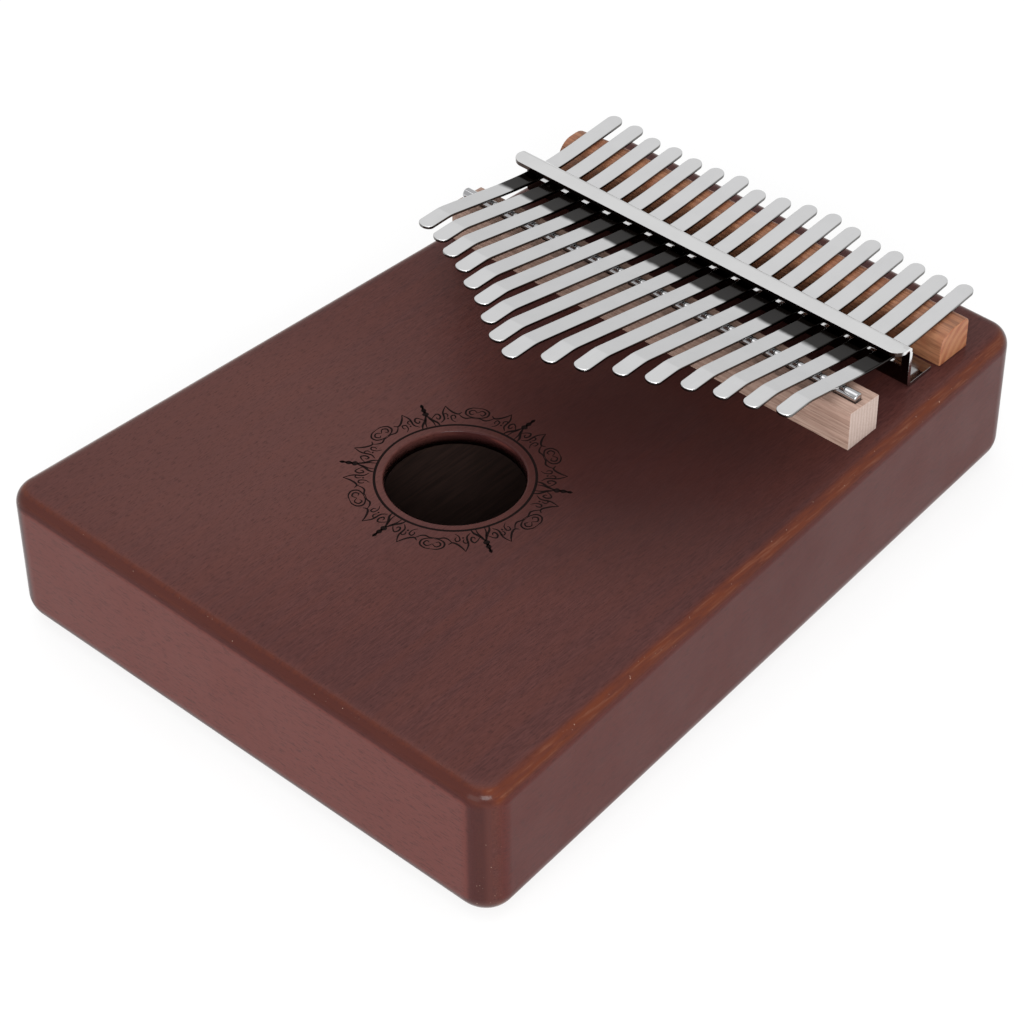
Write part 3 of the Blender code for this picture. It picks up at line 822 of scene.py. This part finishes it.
def bracket_stations():
    """Places along the sheet's section from its top flange down, as (drawn in, y, z)."""
    half = SHEET / 2
    top_z, low_z = BRACKET_HIGH[2] - half, BOX_TOP + half
    front, rear = BRACKET_LOW[1], BRACKET_HIGH[1]
    stations = []
    for i in range(7):
        depth = TOP_CORNER * (1 - cos(pi / 2 * i / 6))
        stations.append((drawn_in(depth, TOP_CORNER), front + depth, top_z))
    # The left end is rounded back over the flat stretch too, which takes a few places.
    flat_front, flat_rear = front + TOP_CORNER, WEB_Y - FOLD
    for share in (0.25, 0.5, 0.75):
        stations.append((0.0, flat_front + (flat_rear - flat_front) * share, top_z))
    for y, z in arc((WEB_Y - FOLD, top_z - FOLD), FOLD, 90, 0, 8):
        stations.append((0.0, y, z))
    for z in (SLOT_Z[1], (SLOT_Z[0] + SLOT_Z[1]) / 2, SLOT_Z[0]):
        stations.append((0.0, WEB_Y, z))
    for y, z in arc((WEB_Y + FOLD, low_z + FOLD), FOLD, 180, 270, 8):
        stations.append((0.0, y, z))
    for i in range(5):
        depth = LOW_CORNER * (1 - cos(pi / 2 * (4 - i) / 4))
        stations.append((drawn_in(depth, LOW_CORNER), rear - depth, low_z))
    return stations


def build_bracket():
    """The folded strip, made as a thin sheet with a slot for each tine, then thickened."""
    middle = (BRACKET_LOW[0] + BRACKET_HIGH[0]) / 2
    half_length = (BRACKET_HIGH[0] - BRACKET_LOW[0]) / 2
    columns = [BRACKET_LOW[0]]
    for number in range(1, TINES + 1):
        x = tine_x(number)
        columns += [x - SLOT_WIDTH / 2, x + SLOT_WIDTH / 2]
    columns.append(BRACKET_HIGH[0])
    sheet = bmesh.new()
    rows, heights = [], []
    for short, y, z in bracket_stations():
        into = min(max(y + LEFT_CUT_LENGTH - WEB_Y, 0.0) / LEFT_CUT_LENGTH, 1.0)
        columns[0] = BRACKET_LOW[0] + LEFT_CUT * (1 - sqrt(1 - into**2))
        scale = (half_length - short) / half_length
        rows.append([sheet.verts.new((middle + (x - middle) * scale, y, z)) for x in columns])
        heights.append(z)
    for z, next_z, row, next_row in zip(heights, heights[1:], rows, rows[1:]):
        beside_slots = z <= SLOT_Z[1] + 1e-7 and next_z >= SLOT_Z[0] - 1e-7
        for i in range(len(columns) - 1):
            if beside_slots and i % 2 == 1:
                continue
            sheet.faces.new((row[i], row[i + 1], next_row[i + 1], next_row[i]))
    nodes = ["pressure_bracket"]
    piece = add_piece("slotted_bracket", sheet, [FOLDED], replaces=nodes)
    thick = piece.modifiers.new("sheet", "SOLIDIFY")
    thick.thickness = SHEET
    thick.offset = 0.0
    thick.use_even_offset = True
    soften(piece, SHEET_EDGE, segments=2, angle=50)


def in_recess(x, y):
    """Whether a point of a screw's head lies in its crossed recess."""
    return min(abs(x), abs(y)) < RECESS_HALF_WIDTH and max(abs(x), abs(y)) < RECESS_REACH


def build_screws():
    """Domed screw heads with a crossed recess, on the bracket's lower flange."""
    seat = BOX_TOP + SHEET
    steps = 48
    for number in range(1, SCREWS + 1):
        node = f"bracket_screw_{number}"
        low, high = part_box(node)
        centre_x, centre_y = (low[0] + high[0]) / 2, (low[1] + high[1]) / 2
        radius = (high[0] - low[0]) / 2
        dome = high[2] - seat - SCREW_RIM
        profile = [(SCREW_POINT, low[2]), (SCREW_SHANK, low[2] + SCREW_POINT_LENGTH)]
        profile += [(SCREW_NECK, seat), (radius * 0.98, seat)]
        for a in (radians(degrees) for degrees in range(0, 90, 9)):
            profile.append((radius * cos(a), seat + SCREW_RIM + dome * sin(a)))
        rings = []
        for r, z in profile:
            ring = []
            for a in (2 * pi * i / steps for i in range(steps)):
                x, y = r * cos(a), r * sin(a)
                sunk = RECESS_DEPTH if in_recess(x, y) and z > seat + 0.5 * MM else 0.0
                ring.append((centre_x + x, centre_y + y, z - sunk))
            rings.append(ring)
        head = bmesh.new()
        add_loops(head, rings)
        add_piece(f"screw_{number}", head, [CHROME], replaces=[node])


# Tines --------------------------------------------------------------------------------------


def tine_bottom(y):
    """Height of a tine's underside behind its tip bend: a spring that the web presses down."""
    rod_span, rear_span = WEB_Y - ROD_Y, CONTACT_Y - WEB_Y
    bend = 2 * (TINE_SLOPE - TINE_REAR_SLOPE) / (rod_span + rear_span)
    rod_top = ROD_Z + ROD_RADIUS + CONTACT_GAP
    if y <= ROD_Y:
        return rod_top + TINE_SLOPE * (ROD_Y - y)
    behind = min(y - ROD_Y, rod_span)
    z = rod_top - TINE_SLOPE * behind + bend * behind**3 / (6 * rod_span)
    web_slope = TINE_SLOPE - bend * rod_span / 2
    past_web = min(max(y - WEB_Y, 0.0), rear_span)
    z -= web_slope * past_web - bend * past_web**2 / 2 + bend * past_web**3 / (6 * rear_span)
    return z - TINE_REAR_SLOPE * max(y - CONTACT_Y, 0.0)


def tine_height(y, bend_y):
    """Height of the underside with the tip bend, which is a parabola between two straights."""
    start, end = bend_y + TINE_TIP_BEND, bend_y - TINE_TIP_BEND
    if y >= start:
        return tine_bottom(y)
    into = min(start - y, start - end)
    turn = (TINE_TIP_SLOPE - TINE_SLOPE) / (start - end)
    z = tine_bottom(start) + TINE_SLOPE * into + turn * into**2 / 2
    return z + TINE_TIP_SLOPE * max(end - y, 0.0)


def tine_plan(tip_y, rear_y, half):
    """Half of the tine's outline from its tip to its rear end, as (distance across, y)."""
    turns = [pi / 2 * i / 10 for i in range(11)]
    points = [(half * sin(a), tip_y + TINE_TIP_ROUND * (1 - cos(a))) for a in turns]
    bend_y = tip_y + TINE_TIP_LENGTH
    first = tip_y + TINE_TIP_ROUND
    last = rear_y - TINE_REAR_ROUND
    places = [bend_y + TINE_TIP_BEND * s for s in (-1.0, -0.6, -0.2, 0.2, 0.6, 1.0)]
    y = places[-1]
    while y < last - 1.25 * TINE_STEP:
        y += TINE_STEP
        places.append(y)
    middle = (first + places[0]) / 2
    points += [(half, middle)] + [(half, y) for y in places]
    points += [(half * sin(a), rear_y - TINE_REAR_ROUND * (1 - cos(a))) for a in reversed(turns)]
    return points


def build_tine(number):
    """One sprung tine. It bends between the web, which holds it, and its front."""
    node = f"tine_{number:02d}"
    low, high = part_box(node)
    x = tine_x(number)
    half = (high[0] - low[0]) / 2
    tip_y, rear_y = low[1], high[1]
    bend_y = tip_y + TINE_TIP_LENGTH
    plan = tine_plan(tip_y, rear_y, half)
    normals = []
    for i in range(len(plan)):
        before, after = plan[max(i - 1, 0)], plan[min(i + 1, len(plan) - 1)]
        along = Vector((after[0] - before[0], after[1] - before[1])).normalized()
        normals.append(Vector((along.y, -along.x)))
    normals[0], normals[-1] = Vector((0, -1)), Vector((0, 1))

    turns = [pi / 2 * i / 3 for i in range(4)]
    section = [(TINE_EDGE + TINE_FLAT_EDGE, 0.0)]
    section += [(TINE_EDGE * (1 - sin(a)), TINE_EDGE * (1 - cos(a))) for a in turns]
    levels = section + [(inset, TINE_THICKNESS - z) for inset, z in reversed(section)]
    tine = bmesh.new()
    loops = []
    for inset, z in levels:
        right = [(p[0] - n.x * inset, p[1] - n.y * inset) for p, n in zip(plan, normals)]
        ring = right + [(-across, y) for across, y in reversed(right[1:-1])]
        loops.append([(x + across, y, tine_height(y, bend_y) + z) for across, y in ring])
    made = add_loops(tine, loops, caps=False)
    count = len(plan)
    for loop, flip in ((made[0], True), (made[-1], False)):
        left = [loop[0]] + loop[count:][::-1] + [loop[count - 1]]
        for i in range(count - 1):
            corners = [left[i], loop[i], loop[i + 1], left[i + 1]]
            corners = [v for k, v in enumerate(corners) if v not in corners[:k]]
            tine.faces.new(corners[::-1] if flip else corners)
    piece = add_piece(f"sprung_{node}", tine, [SATIN], body=None, replaces=[node])
    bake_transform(piece)


# Floor, light and camera ----------------------------------------------------------------------


def build_stage():
    """A plain pale floor."""
    finish = Finish("pale_floor")
    patch = finish.noise(finish.place, scale=1 / (60 * MM), detail=2.0)
    finish.set(Base_Color=finish.mix(patch, (0.21,) * 3, (0.23,) * 3), Roughness=0.9)
    finish.set(Specular_IOR_Level=0.1, Emission_Color=WHITE, Emission_Strength=0.76)
    floor_mesh = bmesh.new()
    bmesh.ops.create_grid(floor_mesh, x_segments=2, y_segments=2, size=4.0)
    mesh = bpy.data.meshes.new("floor")
    floor_mesh.to_mesh(mesh)
    floor_mesh.free()
    mesh.materials.append(finish.made)
    floor = bpy.data.objects.new("floor", mesh)
    floor.location.z = -0.2 * MM  # clear of the box's underside
    bpy.context.scene.collection.objects.link(floor)


def add_softbox(name, place, size, power):
    """A soft rectangular lamp that faces the origin."""
    light = bpy.data.lights.new(name, "AREA")
    light.shape = "RECTANGLE"
    light.size, light.size_y = size
    light.energy = power
    lamp = bpy.data.objects.new(name, light)
    lamp.location = place
    lamp.rotation_euler = (-Vector(place)).to_track_quat("-Z", "Y").to_euler()
    bpy.context.scene.collection.objects.link(lamp)


def build_light():
    """A pale surround and four softboxes."""
    world = bpy.data.worlds.new("studio")
    world.use_nodes = True
    background = world.node_tree.nodes["Background"]
    background.inputs["Color"].default_value = WHITE
    background.inputs["Strength"].default_value = 0.75
    bpy.context.scene.world = world
    add_softbox("overhead", (-0.2, 0.1, 1.4), (1.2, 1.2), 5.5)
    add_softbox("front", (0.25, -1.3, 0.5), (0.8, 0.6), 4.0)
    add_softbox("key", (0.74, -0.72, 0.64), (0.55, 0.4), 10.0)
    add_softbox("rear_panel", (-0.76, 0.81, 1.0), (0.75, 0.65), 0.14)
    bpy.context.scene.view_settings.view_transform = "Standard"


def build_camera():
    """The camera stands at an azimuth and an elevation round its target."""
    back = Vector((sin(AZIMUTH) * cos(ELEVATION), -cos(AZIMUTH) * cos(ELEVATION), sin(ELEVATION)))
    right = Vector((cos(AZIMUTH), sin(AZIMUTH), 0))
    up = back.cross(right)
    turned_right = right * cos(ROLL) + up * sin(ROLL)
    turned_up = up * cos(ROLL) - right * sin(ROLL)
    camera = bpy.data.cameras.new("camera")
    camera.lens = LENS
    camera.sensor_width = 36.0
    camera.clip_start = 0.01
    made = bpy.data.objects.new("camera", camera)
    turn = Matrix((turned_right, turned_up, back)).transposed().to_4x4()
    made.matrix_world = Matrix.Translation(TARGET + back * DISTANCE) @ turn
    bpy.context.scene.collection.objects.link(made)
    bpy.context.scene.camera = made


def finish_inner_block():
    """The block inside the box keeps its CAD mesh."""
    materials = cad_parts["anchor_block"].data.materials
    materials.clear()
    materials.append(PLAIN)


build_camera()
build_box()
build_ornament()
build_front_bridge()
build_rear_bridge()
build_bracket()
build_screws()
for tine_number in range(1, TINES + 1):
    build_tine(tine_number)
finish_inner_block()
build_stage()
build_light()
